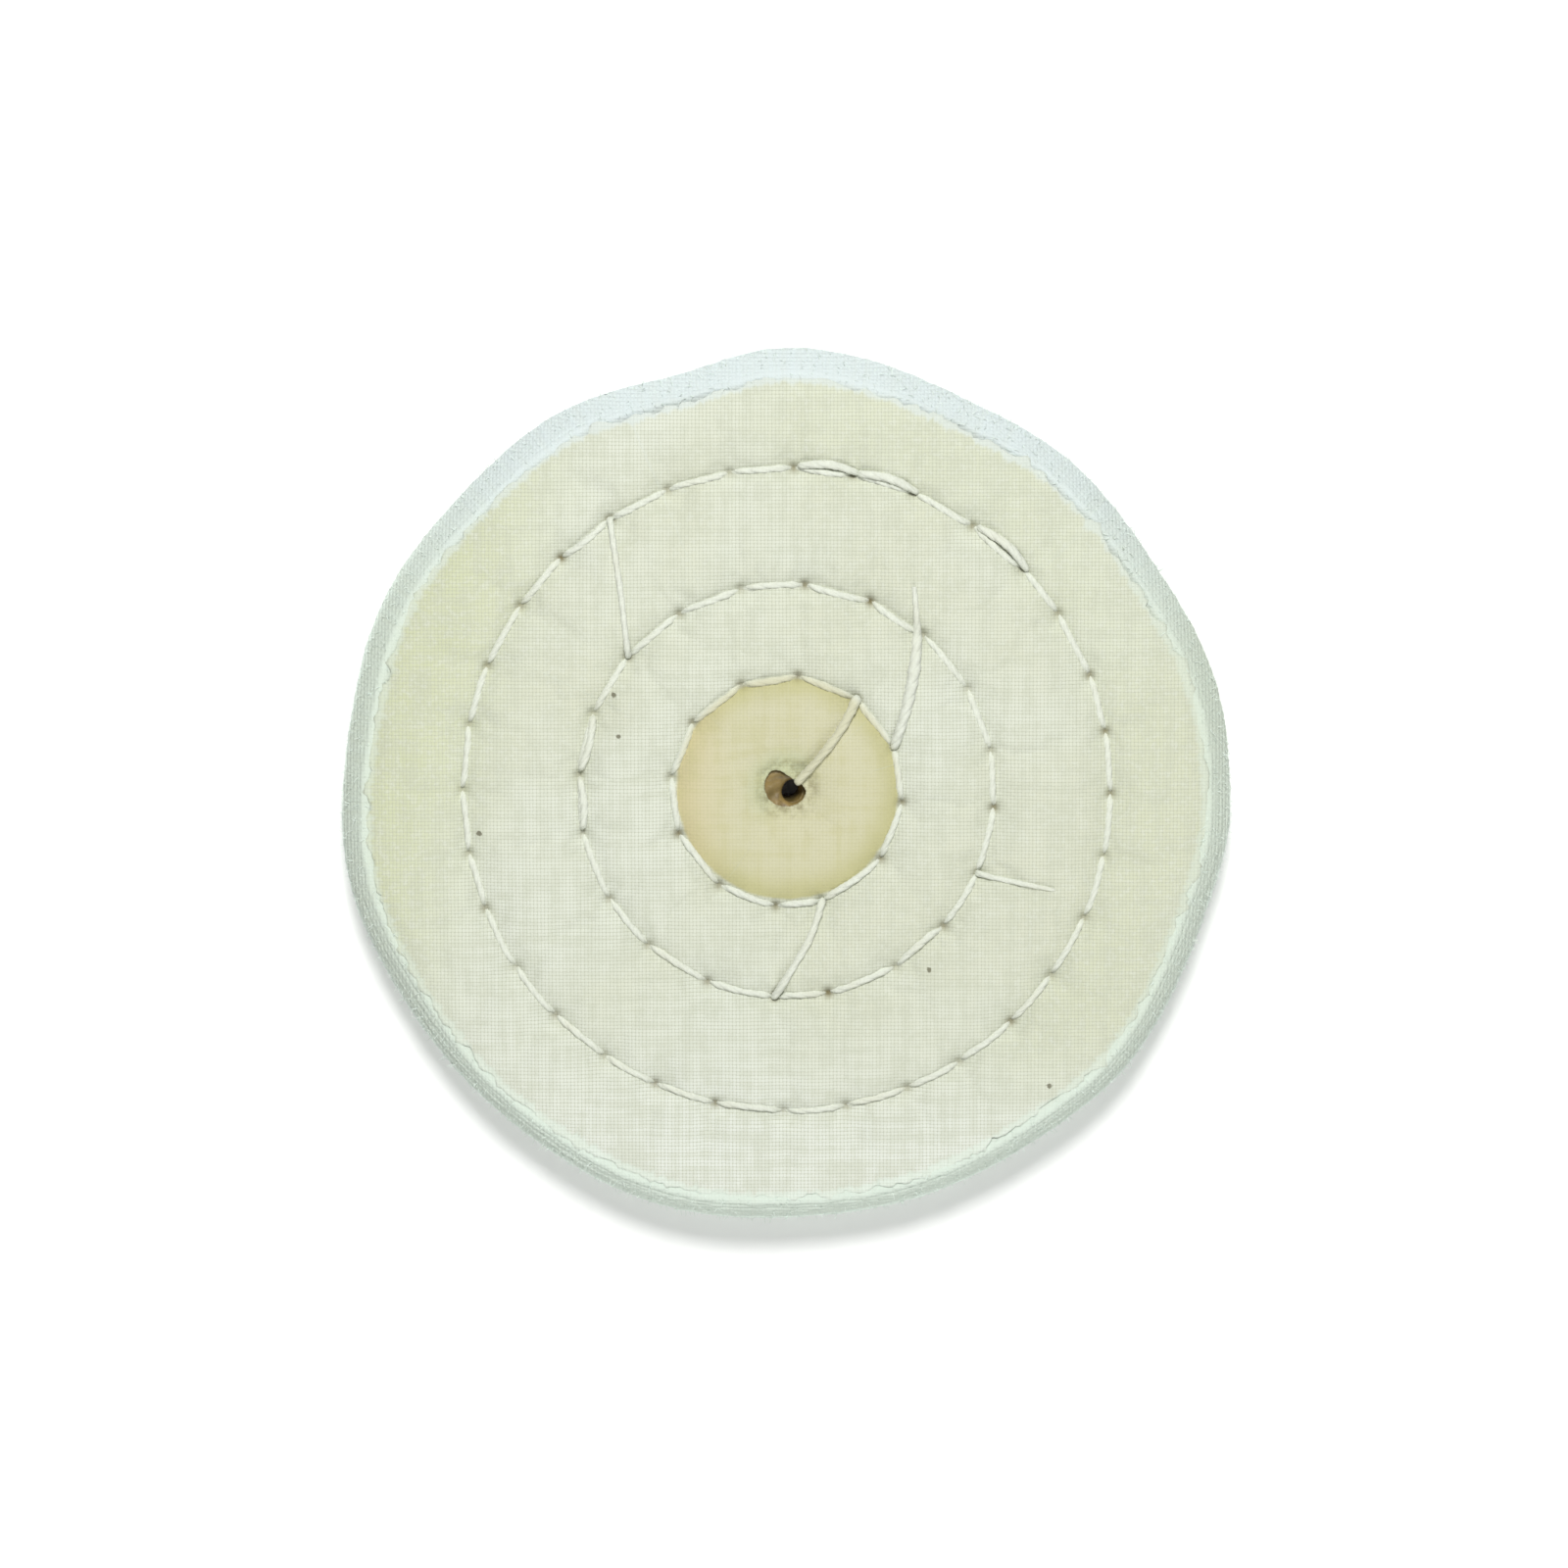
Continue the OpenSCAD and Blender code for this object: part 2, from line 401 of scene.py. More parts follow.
def makeFloor(name):
    paint = Paint(name)
    grain = paint.noise(30.0, 2.0)
    tone = stageSpec["floorColour"]
    colour = paint.mix(grain * 0.1, tone, tuple(c * 0.98 for c in tone))
    return paint.finish(colour, 0.9 + grain * 0.05, grain, 0.01 * mm, {"Specular IOR Level": 0.1})


faceCloth = makeCloth("faceCloth", True)
innerCloth = makeCloth("innerCloth", False)
threadWhite = makeThread("threadWhite", srgb(211, 215, 202))
fluffWhite = makeThread("fluffWhite", srgb(220, 232, 225))
shellacBrown = makeShellac("shellacBrown")
print("materials made")

# the wheel's shape
wheelSpec = {
    "halfThickness": 5.0,   # mm, floor to mid-thickness
    "puff": 0.55,           # mm that the cloth swells between rings of stitches
    "grooveDepth": 0.75,    # mm
    "grooveWidth": 1.5,     # mm
    "dimpleDepth": 0.5,     # mm at a needle hole
    "dimpleWidth": 0.6,     # mm
    "darkSpread": 0.28,     # mm2, how far the painted shade of a needle hole spreads
    "puckerDepth": 0.16,    # mm
    "puckerReach": 3.6,     # mm
    "centreDip": 1.1,       # mm at the hole
    "centreDipReach": 3.4,  # mm
    "holeRadius": 2.3,      # mm
    "holeShape": [(0, 1.7), (30, 1.5), (60, 1.8), (90, 2.4), (120, 2.2), (150, 1.8), (180, 1.7),
                  (210, 1.9), (240, 2.3), (270, 2.6), (300, 2.8), (330, 3.0), (360, 1.7)],  # degrees, mm
    "rimRound": 3.1,        # mm
    "flutter": 0.28,        # mm that the free rim waves up and down
    "flutterFrom": 39,      # mm from the axis, and the waves grow over the next length
    "flutterOver": 12,
    "seed": 11,
}
ringSpecs = [   # bearings run clockwise from +Y, in degrees
    {"radius": 13.5, "stitches": 12, "first": 7.0, "jitter": 1.8, "moved": {5: 5.0}},
    {"radius": 24.2, "stitches": 20, "first": 5.4, "jitter": 1.3, "moved": {10: -2.0}},
    {"radius": 37.7, "stitches": 32, "first": 0.9, "jitter": 0.7, "moved": {}},
]
outlineWaves = [   # share of the radius, waves round the wheel, bearing of the first crest
    (0.0105, 1, 209.0), (0.0098, 2, 93.0), (0.0042, 4, 4.0), (0.0046, 6, 18.0),
    (0.0040, 9, 6.5), (0.0042, 10, 7.0), (0.0028, 11, 2.4), (0.0035, 0, 0.0),
]
outlineBumps = [   # share of the radius, bearing, width in degrees
    (0.018, 356.0, 9.0), (0.012, 96.0, 7.0), (0.008, 130.0, 9.0), (0.01, 310.0, 12.0),
]


def ringBearings(ring, rng):  # bearing of each needle hole, in degrees
    pitch = 360 / ring["stitches"]
    k = np.arange(ring["stitches"])
    bearings = ring["first"] + pitch * k + rng.uniform(-1, 1, len(k)) * ring["jitter"]
    for hole, shift in ring["moved"].items():
        bearings[hole] = ring["first"] + pitch * hole + shift
    return bearings


dice = np.random.default_rng(wheelSpec["seed"])
for ring in ringSpecs:
    ring["bearings"] = ringBearings(ring, dice)
    # how much painted shade each needle hole gets
    ring["darkness"] = dice.uniform(0.3, 0.85, ring["stitches"])
for ringNumber, hole in ((2, 28), (2, 29), (0, 1), (1, 1), (1, 9)):   # the holes that gape most get the full painted shade
    ringSpecs[ringNumber]["darkness"][hole] = 1.0


def at(radius, bearing):  # x and y of a radius and a bearing in degrees
    b = np.radians(bearing)
    return np.stack([radius * np.sin(b), radius * np.cos(b)], axis=-1)


def outline(bearing):  # the wheel's edge radius as a share of its nominal one
    share = np.ones_like(bearing)
    for size, waves, crest in outlineWaves:
        share = share + size * np.cos(np.radians(waves * (bearing - crest)))
    for size, middle, width in outlineBumps:
        away = (bearing - middle + 180) % 360 - 180
        share = share + size * np.exp(-(away / width) ** 2)
    return share


def smooth(t):
    t = np.clip(t, 0, 1)
    return t * t * (3 - 2 * t)


# radius of the stitches' straight chords, and how far along its stitch, at each bearing
def stitchLine(ring, bearing):
    holes = np.sort(ring["bearings"] % 360)
    b = bearing % 360
    k = np.searchsorted(holes, b, side="right")
    low = np.where(k == 0, holes[-1] - 360, holes[k - 1])
    high = np.where(k == len(holes), holes[0] + 360, holes[k % len(holes)])
    half = np.radians(high - low) / 2
    past = np.radians(b - low) - half
    return ring["radius"] * np.cos(half) / np.cos(past), (b - low) / (high - low)


# height of the face over mid-thickness, in mm, and how much painted needle-hole shade each point gets
def bulge(x, y, r, bearing, bumps):
    spec = wheelSpec
    edges = [spec["holeRadius"] + 1.0] + [ring["radius"] for ring in ringSpecs] + [60.0]
    z = np.full_like(r, spec["halfThickness"] - spec["puff"] * 0.5)
    for low, high in zip(edges, edges[1:]):
        inside = (r >= low) & (r < high)
        t = (r - low) / (high - low)
        z = z + np.where(inside, spec["puff"] * np.sqrt(np.clip(np.sin(np.pi * t), 0, 1)), 0)
    hole = np.zeros_like(r)
    for ring in ringSpecs:
        line, along = stitchLine(ring, bearing)
        off = r - line
        near = np.exp(-(off / spec["grooveWidth"]) ** 2)
        pull = 0.7 + 0.3 * np.cos(2 * np.pi * along)
        z = z - spec["grooveDepth"] * near * pull
        reach = np.exp(-np.abs(off) / spec["puckerReach"]) * (1 - near * 0.6)
        z = z - spec["puckerDepth"] * reach * np.cos(2 * np.pi * along)
        for (hx, hy), strength in zip(at(ring["radius"], ring["bearings"]), ring["darkness"]):
            d2 = (x - hx) ** 2 + (y - hy) ** 2
            dimple = np.exp(-d2 / spec["dimpleWidth"] ** 2)
            z = z - spec["dimpleDepth"] * dimple
            # painted shade of the needle hole, spreading round it
            hole = np.maximum(hole, np.exp(-d2 / spec["darkSpread"]) * strength)
    z = z - spec["centreDip"] * np.exp(-((r - spec["holeRadius"]) / spec["centreDipReach"]) ** 2)
    return z + bumps, hole


def rimWave(bearing, r, phase):  # the free rim waves up and down, more towards the edge
    grow = smooth((r - wheelSpec["flutterFrom"]) / wheelSpec["flutterOver"])
    wave = np.cos(np.radians(5 * bearing + 40)) + 0.7 * np.cos(np.radians(9 * bearing + 130 + phase))
    return wheelSpec["flutter"] * grow * wave * 0.6


def placed(name, data):  # a new object in the scene
    made = bpy.data.objects.new(name, data)
    bpy.context.scene.collection.objects.link(made)
    return made


# quads between rows of points that run round the wheel. closed also joins the last row to the first
def gridFaces(rows, columns, closed=False):
    i, j = np.meshgrid(np.arange(rows if closed else rows - 1), np.arange(columns), indexing="ij")
    k, after = (j + 1) % columns, (i + 1) % rows
    corners = [i * columns + j, i * columns + k, after * columns + k, after * columns + j]
    return np.stack(corners, axis=-1).reshape(-1, 4)


# a closed ply from grids of its upper and lower sides, each [ring, bearing, xyz] in mm
def clothMesh(name, bearings, over, under, masks, material):
    n = len(bearings)
    top = over.reshape(-1, 3)
    low = under.reshape(-1, 3)
    points = np.concatenate([top, low]) * mm
    j = np.arange(n)
    k = (j + 1) % n
    s = len(top)
    lastTop, lastLow = (len(over) - 1) * n, s + (len(under) - 1) * n
    outer = np.stack([lastTop + j, lastTop + k, lastLow + k, lastLow + j], axis=-1)
    inner = np.stack([k, j, s + j, s + k], axis=-1)
    underside = (gridFaces(len(under), n) + s)[:, ::-1]
    faces = np.concatenate([gridFaces(len(over), n), underside, outer, inner])[:, ::-1]
    mesh = bpy.data.meshes.new(name)
    mesh.vertices.add(len(points))
    mesh.vertices.foreach_set("co", points.astype(np.float32).ravel())
    mesh.loops.add(faces.size)
    mesh.loops.foreach_set("vertex_index", faces.ravel().astype(np.int32))
    mesh.polygons.add(len(faces))
    mesh.polygons.foreach_set("loop_start", np.arange(0, faces.size, 4, dtype=np.int32))
    mesh.update(calc_edges=True)
    mesh.shade_smooth()
    for maskName, values in masks.items():
        attribute = mesh.attributes.new(maskName, "FLOAT", "POINT")
        attribute.data.foreach_set("value", values.astype(np.float32).ravel())
    mesh.materials.append(material)
    return placed(name, mesh)


def polar(radii, bearings):
    return np.meshgrid(radii, bearings, indexing="ij")


last = len(plyNames) - 1


# outer radius of one ply at each bearing: the wheel's outline, its place in the rounded rim and its own cut
def plyEdge(index, bearings, rng):
    u = abs(2 * index / last - 1)
    nominal = (cadHigh.x / mm) - wheelSpec["rimRound"] * (1 - math.sqrt(1 - u * u * 0.999))
    own = np.zeros_like(bearings)
    for waves in (3, 5, 8, 13, 21):
        size = rng.uniform(-1, 1) / math.sqrt(waves)
        own = own + size * np.cos(np.radians(waves * bearings + rng.uniform(0, 360)))
    frayed = rng.normal(0, 0.05, len(bearings))
    return nominal * outline(bearings) + own * 0.14 + frayed


def holeEdge(bearings, rng, wider):  # the cloth's torn opening, as a radius from the wheel's axis
    b = np.radians(bearings)
    rough = np.zeros_like(bearings)
    for waves in (2, 3, 5, 9, 14, 23, 37):
        rough = rough + rng.uniform(-1, 1) * np.cos(waves * b + rng.uniform(0, 6.3)) / waves ** 0.6
    turns, sizes = np.array(wheelSpec["holeShape"]).T
    soft = np.mean([np.interp((bearings + k) % 360, turns, sizes) for k in range(-14, 15, 4)], axis=0)
    return soft + wider + 0.13 * rough


# radii from the hole's edge to the ply's edge: the given ones, with the ends following the cut
def spread(inner, outer, radii):
    t = (radii - radii[0]) / (radii[-1] - radii[0])
    squeezeIn = np.exp(-(radii - radii[0]) / 2.0)
    squeezeOut = smooth((t - 0.8) / 0.2)
    r = radii[:, None] + (inner - radii[0])[None, :] * squeezeIn[:, None]
    return r + (outer - radii[-1])[None, :] * squeezeOut[:, None]


faceSpec = {
    "bearings": 600,
    "thickness": 0.25,   # mm
    "thinning": 0.75,    # share of the thickness lost at the edge
    "ragged": 0.34,      # mm that the frayed edge wanders
    "whitened": 1.5,     # mm of the edge scuffed white
    "ringSteps": [(1.6, 0.27), (3, 0.42)],   # mm from a row of stitches, mm between rings of vertices
    "plainStep": 0.62,   # mm between rings away from the stitches
    "edgeStep": 0.3,     # mm between rings near the hole and the edge
    # mm from the axis where each change begins, and over how many mm it comes in
    "crumpleFrom": 14,
    "crumpleOver": 6,
    "stiffFrom": 12,
    "stiffOver": 3,
    "rimFrom": 43,
    "rimOver": 2.5,
    "fallOver": 2.6,     # mm of the edge that bends down
    "fall": 0.58,        # mm
    "underStep": 6,      # on plain cloth the lower side keeps one ring in this many
    # it keeps every other one this near, in mm, to a row of stitches, the axis and the edge
    "underNear": 2.6,
    "underHole": 6,
    "underEdge": 3.2,
}


# radii of a face ply's rings of vertices, closer together at the stitches and the edges
def faceRadii(outer):
    spec = faceSpec
    radii = [wheelSpec["holeRadius"]]
    while radii[-1] < outer - 0.2:
        r = radii[-1]
        near = min(abs(r - ring["radius"]) for ring in ringSpecs)
        step = next((size for reach, size in spec["ringSteps"] if near < reach), spec["plainStep"])
        if r < 5 or r > outer - 2:
            step = spec["edgeStep"]
        radii.append(r + step)
    radii[-1] = outer
    return np.array(radii)


def crumple(radii, bearings, rng):  # small uneven swellings of the cloth, as a smooth field over the face
    r, b = polar(radii, bearings)
    x, y = r * np.sin(np.radians(b)), r * np.cos(np.radians(b))
    field = np.zeros_like(r)
    for size, reach in ((0.07, 12.0), (0.035, 6.5), (0.015, 3.4)):
        for _ in range(9):
            a, p = rng.uniform(0, 2 * np.pi, 2)
            field += size * np.sin((x * np.cos(a) + y * np.sin(a)) * 2 * np.pi / reach + p) / 3
    return field


relaxSpec = {
    "scale": 10.0,        # the solver behaves best at about a metre across
    "bearings": 224,
    "step": 0.8,          # mm between rings of vertices
    "grow": -0.024,       # shrink factor; negative gives the cloth slack to pucker
    "pressure": 2.2,
    "frames": 26,
    "stiffness": 14.0,
    "bending": 0.35,
    "stitchPin": 0.45,    # mm from the stitch line that is held down
    "most": 0.55,         # mm that the cloth may move
}


# lets the quilted face swell and pucker between its stitches. Returns radii, and mm moved up on their grid
def relaxCloth(spec, side):
    radii = np.arange(wheelSpec["holeRadius"] + 0.3, 47.6, spec["step"])
    bearings = np.linspace(0, 360, spec["bearings"], endpoint=False)
    r, b = polar(radii, bearings)
    dice = np.random.default_rng(31 + side)
    x, y = r * np.sin(np.radians(b)), r * np.cos(np.radians(b))
    start, _ = bulge(x, y, r, b, crumple(radii, bearings, dice) * 0.5)
    size = spec["scale"] * mm
    points = np.stack([x, y, start], axis=-1).reshape(-1, 3) * size
    faces = gridFaces(len(radii), len(bearings))
    faces = np.roll(faces, -1, axis=1)   # the first corner sets how a quad is split
    mesh = bpy.data.meshes.new("relaxing")
    mesh.from_pydata(points.tolist(), [], faces.tolist())
    piece = placed("relaxing", mesh)
    held = np.zeros_like(r, dtype=bool)
    for ring in ringSpecs:
        line, _ = stitchLine(ring, b)
        held |= np.abs(r - line) < spec["stitchPin"]
    held[0], held[-1] = True, True
    pins = piece.vertex_groups.new(name="pins")
    pins.add(np.flatnonzero(held.ravel()).tolist(), 1.0, "REPLACE")
    modifier = piece.modifiers.new("cloth", "CLOTH")
    cloth = modifier.settings
    cloth.quality = 6
    cloth.mass = 0.2
    cloth.vertex_group_mass = "pins"
    cloth.tension_stiffness = spec["stiffness"]
    cloth.compression_stiffness = spec["stiffness"]
    cloth.shear_stiffness = spec["stiffness"] / 3
    cloth.bending_stiffness = spec["bending"]
    cloth.shrink_min = spec["grow"]
    cloth.use_pressure = True
    cloth.uniform_pressure_force = spec["pressure"]
    cloth.effector_weights.gravity = 0.0
    modifier.collision_settings.use_collision = False
    modifier.point_cache.frame_end = spec["frames"]
    scene = bpy.context.scene
    for f in range(1, spec["frames"] + 1):
        scene.frame_set(f)
    shaped = piece.evaluated_get(bpy.context.evaluated_depsgraph_get())
    result = np.zeros(len(points) * 3, dtype=np.float32)
    shaped.data.vertices.foreach_get("co", result)
    lifted = result.reshape(-1, 3)[:, 2].reshape(r.shape) / size - start
    print("cloth relaxed: moved", round(float(lifted.min()), 2), "to", round(float(lifted.max()), 2), "mm")
    bpy.data.objects.remove(piece)
    scene.frame_set(1)
    most = spec["most"]
    return radii, most * np.tanh(lifted / most)


def gridValue(radii, grid, r, bearing):  # reads a polar grid at any radii and bearings
    n = grid.shape[1]
    i = np.clip(np.searchsorted(radii, r) - 1, 0, len(radii) - 2)
    t = np.clip((r - radii[i]) / (radii[i + 1] - radii[i]), 0, 1)
    f = (bearing % 360) / 360 * n
    j = np.floor(f).astype(int) % n
    u = f - np.floor(f)
    k = (j + 1) % n
    nearer = grid[i, j] * (1 - u) + grid[i, k] * u
    farther = grid[i + 1, j] * (1 - u) + grid[i + 1, k] * u
    return nearer * (1 - t) + farther * t


def underRows(radii):  # which rings of a face ply's outer side its inner side keeps
    spec = faceSpec
    shaped = np.min([np.abs(radii - ring["radius"]) for ring in ringSpecs], axis=0) < spec["underNear"]
    shaped |= (radii < spec["underHole"]) | (radii > radii[-1] - spec["underEdge"])
    rows = np.arange(len(radii))
    kept = (shaped & (rows % 2 == 0)) | (rows % spec["underStep"] == 0) | (rows == rows[-1])
    return np.flatnonzero(kept)


def makeFacePly(index, side):  # the top (side 1) or bottom (side -1) ply, quilted by the stitches
    spec = faceSpec
    rng = np.random.default_rng(100 + index)
    bearings = np.linspace(0, 360, spec["bearings"], endpoint=False)
    outer = plyEdge(index, bearings, rng)
    radii = faceRadii(float(outer.mean()))
    inner = holeEdge(bearings, rng, 0.0)
    r = spread(inner, outer, radii)
    b = np.broadcast_to(bearings, r.shape)
    x, y = r * np.sin(np.radians(b)), r * np.cos(np.radians(b))
    bumps = crumple(radii, bearings, rng) * smooth((r - spec["crumpleFrom"]) / spec["crumpleOver"])
    z, hole = bulge(x, y, r, b, bumps)
    # the hardened centre and the rim hardly pucker
    slack = 0.3 + 0.7 * smooth((r - spec["stiffFrom"]) / spec["stiffOver"])
    slack = slack * (1 - 0.85 * smooth((r - spec["rimFrom"]) / spec["rimOver"]))
    z = z + gridValue(*relaxCloth(relaxSpec, side), r, b) * slack
    z = z + rimWave(b, r, 0) * side
    edgeFall = smooth((r - (outer[None, :] - spec["fallOver"])) / spec["fallOver"])
    z = z - spec["fall"] * edgeFall
    ragged = rng.normal(0, 1, len(bearings))
    ragged = spec["ragged"] * (ragged + np.roll(ragged, 1) + np.roll(ragged, -1)) / 2
    for back, share in ((1, 1.0), (2, 0.5)):
        x[-back] += ragged * share * np.sin(np.radians(bearings))
        y[-back] += ragged * share * np.cos(np.radians(bearings))
    if side < 0:   # the wheel lies on this one
        z = np.minimum(z, wheelSpec["halfThickness"] - 0.02)
    cut = np.clip((r - (outer[None, :] - spec["whitened"])) / spec["whitened"], 0, 1) ** 1.5
    outside = np.stack([x, y, z], axis=-1)
    keep = underRows(radii)
    inside = outside[keep].copy()
    inside[..., 2] -= spec["thickness"] * (1 - spec["thinning"] * edgeFall[keep])
    if side > 0:
        over, under = outside, inside
        masks = {"needleHole": [hole, hole[keep]], "cutEdge": [cut, cut[keep]]}
    else:
        flipped = np.array([1, 1, -1])
        over, under = inside * flipped, outside * flipped
        masks = {"needleHole": [hole[keep], hole], "cutEdge": [cut[keep], cut]}
    masks = {key: np.concatenate(parts) for key, parts in masks.items()}
    piece = clothMesh("cloth_" + plyNames[index], bearings, over, under, masks, faceCloth)
    return piece, radii, z


innerSpec = {
    "bearings": 300,
    "thickness": 0.22,   # mm
    "radii": [2.5, 6.0, 12.0, 20.0, 30.0, 39.0, 43.0, 46.0, 48.2],
    "tornAbove": 0.84,   # share of the stack above which the hole is torn like the top ply's
    "tornWider": 0.12,   # mm
    "boreGap": 2.9,      # mm, inside the lining's wall
    "dipShare": 0.4,     # share of the faces' dip at the hole
    "wave": 0.045,       # mm that each ply waves on its own
    "faceGap": 0.2,      # mm left under the faces
    "rimGap": 0.45,      # mm more, within the rim
    "press": 1.95,       # mm that the stitches press the plies together
    # as for a face ply, mm from the axis where each change begins, and over how many mm it comes in
    "pressFrom": 40,
    "pressOver": 5,
    "rimGapFrom": 46.6,
    "rimGapOver": 1.5,
    "waveFrom": 44,
    "waveOver": 5,
    "cutFrom": 45.5,
    "cutOver": 2.0,
}


def halfStack(r):  # half the height of the plies between the faces, at each radius
    spec = innerSpec
    rimGap = spec["rimGap"] * (1 - smooth((r - spec["rimGapFrom"]) / spec["rimGapOver"]))
    press = spec["press"] * (1 - smooth((r - spec["pressFrom"]) / spec["pressOver"]))
    dip = wheelSpec["centreDip"] * np.exp(-((r - wheelSpec["holeRadius"]) / wheelSpec["centreDipReach"]) ** 2)
    return wheelSpec["halfThickness"] - spec["faceGap"] - rimGap - press - dip * spec["dipShare"]


def makeInnerPly(index):  # a ply inside the stack, seen only at the rim and in the hole
    spec = innerSpec
    rng = np.random.default_rng(500 + index)
    bearings = np.linspace(0, 360, spec["bearings"], endpoint=False)
    outer = plyEdge(index, bearings, rng)
    radii = np.array(spec["radii"] + [float(outer.mean())])
    if index > last * spec["tornAbove"]:
        inner = holeEdge(bearings, rng, spec["tornWider"])
    else:
        inner = np.full(len(bearings), spec["boreGap"])
    r = spread(inner, outer, radii)
    b = np.broadcast_to(bearings, r.shape)
    x, y = r * np.sin(np.radians(b)), r * np.cos(np.radians(b))
    level = 2 * index / last - 1
    own = np.zeros_like(b)
    for waves in (4, 7, 11, 17):
        own = own + rng.uniform(-1, 1) * np.cos(np.radians(waves * b + rng.uniform(0, 360))) / 2
    ownWave = own * spec["wave"] * smooth((r - spec["waveFrom"]) / spec["waveOver"])
    z = halfStack(r) * level + rimWave(b, r, 0) + ownWave
    t = spec["thickness"] / 2
    over = np.stack([x, y, z + t], axis=-1)
    under = np.stack([x, y, z - t], axis=-1)
    cut = smooth((r - spec["cutFrom"]) / spec["cutOver"])
    masks = {"cutEdge": np.concatenate([cut, cut]), "needleHole": np.zeros(2 * r.size)}
    return clothMesh("cloth_" + plyNames[index], bearings, over, under, masks, innerCloth)


plies = {}
plies[last], faceR, faceZ = makeFacePly(last, 1)
plies[0], backR, backZ = makeFacePly(0, -1)
for index in range(1, last):
    plies[index] = makeInnerPly(index)
for index, piece in plies.items():
    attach(piece, "root")
    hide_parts(plyNames[index])
print("plies made:", len(plies))


def clothHeight(xy, radii, z):  # height of a face at points in mm
    x, y = xy[..., 0], xy[..., 1]
    return gridValue(radii, z, np.hypot(x, y), np.degrees(np.arctan2(x, y)))


# thread
threadSpec = {
    "radius": 0.46,        # mm
    "twistLength": 5.2,    # mm for one turn of the strands
    "step": 0.3,           # mm between rings of vertices
    "sink": 0.5,           # mm that a stitch sinks into the cloth
    "strandApart": 0.5,    # mm from a needle hole's middle to each strand in it
    "diveLength": 0.85,    # mm over which a stitch sinks into its needle hole
    "slant": 0.2,          # mm that a stitch's ends wander across its row
    "footHeight": 0.3,     # mm over mid-thickness at which a strand ends
    "looseDepth": 1.6,     # mm that the end of a loose length goes down into the cloth
}


def geometryTree(name, inputs):
    tree = bpy.data.node_groups.new(name, "GeometryNodeTree")
    tree.interface.new_socket("Geometry", in_out="INPUT", socket_type="NodeSocketGeometry")
    for label, kind in inputs:
        tree.interface.new_socket(label, in_out="INPUT", socket_type=kind)
    tree.interface.new_socket("Geometry", in_out="OUTPUT", socket_type="NodeSocketGeometry")
    return tree, tree.nodes.new("NodeGroupInput"), tree.nodes.new("NodeGroupOutput")


def addNode(tree, kind, settings=None, inputs=None):
    made = tree.nodes.new(kind)
    for key, value in (settings or {}).items():
        setattr(made, key, value)
    for key, value in (inputs or {}).items():
        if isinstance(value, bpy.types.NodeSocket):
            tree.links.new(value, made.inputs[key])
        else:
            made.inputs[key].default_value = value
    return made


def makeYarnTree():  # curves become twisted three-strand yarn
    tree, given, result = geometryTree("twistedYarn", [
        ("Radius", "NodeSocketFloat"), ("Twist Length", "NodeSocketFloat"),
        ("Step", "NodeSocketFloat"), ("Material", "NodeSocketMaterial")])
    radius = given.outputs["Radius"]
    even = addNode(tree, "GeometryNodeResampleCurve", {"mode": "LENGTH"},
                   {"Curve": given.outputs["Geometry"], "Length": given.outputs["Step"]})
    along = addNode(tree, "GeometryNodeSplineParameter")
    turns = addNode(tree, "ShaderNodeMath", {"operation": "DIVIDE"},
                    {0: along.outputs["Length"], 1: given.outputs["Twist Length"]})
    angle = addNode(tree, "ShaderNodeMath", {"operation": "MULTIPLY"}, {0: turns.outputs[0], 1: 2 * math.pi})
    tilted = addNode(tree, "GeometryNodeSetCurveTilt", None,
                     {"Curve": even.outputs[0], "Tilt": angle.outputs[0]})
    lumps = addNode(tree, "ShaderNodeTexNoise", None, {"Scale": 420.0, "Detail": 2.0})
    lumpy = addNode(tree, "ShaderNodeMapRange", None,
                    {"Value": lumps.outputs[0], "To Min": 0.72, "To Max": 1.28})
    own = addNode(tree, "GeometryNodeInputRadius")
    thick = addNode(tree, "ShaderNodeMath", {"operation": "MULTIPLY"},
                    {0: lumpy.outputs[0], 1: own.outputs[0]})
    strandR = addNode(tree, "ShaderNodeMath", {"operation": "MULTIPLY"}, {0: radius, 1: 0.78})
    strandOff = addNode(tree, "ShaderNodeMath", {"operation": "MULTIPLY"}, {0: radius, 1: 0.24})
    joined = tree.nodes.new("GeometryNodeJoinGeometry")
    for k in range(3):
        circle = addNode(tree, "GeometryNodeCurvePrimitiveCircle", None,
                         {"Resolution": 6, "Radius": strandR.outputs[0]})
        a = 2 * math.pi * k / 3
        scaled = addNode(tree, "ShaderNodeVectorMath", {"operation": "SCALE"},
                         {0: (math.cos(a), math.sin(a), 0), "Scale": strandOff.outputs[0]})
        moved = addNode(tree, "GeometryNodeTransform", None,
                        {"Geometry": circle.outputs[0], "Translation": scaled.outputs[0]})
        tree.links.new(moved.outputs[0], joined.inputs[0])
    tube = addNode(tree, "GeometryNodeCurveToMesh", None,
                   {"Curve": tilted.outputs[0], "Profile Curve": joined.outputs[0], "Scale": thick.outputs[0],
                    "Fill Caps": True})
    smoothed = addNode(tree, "GeometryNodeSetShadeSmooth", None, {"Geometry": tube.outputs[0]})
    real = addNode(tree, "GeometryNodeRealizeInstances", None, {"Geometry": smoothed.outputs[0]})
    painted = addNode(tree, "GeometryNodeSetMaterial", None,
                      {"Geometry": real.outputs[0], "Material": given.outputs["Material"]})
    tree.links.new(painted.outputs[0], result.inputs[0])
    return tree


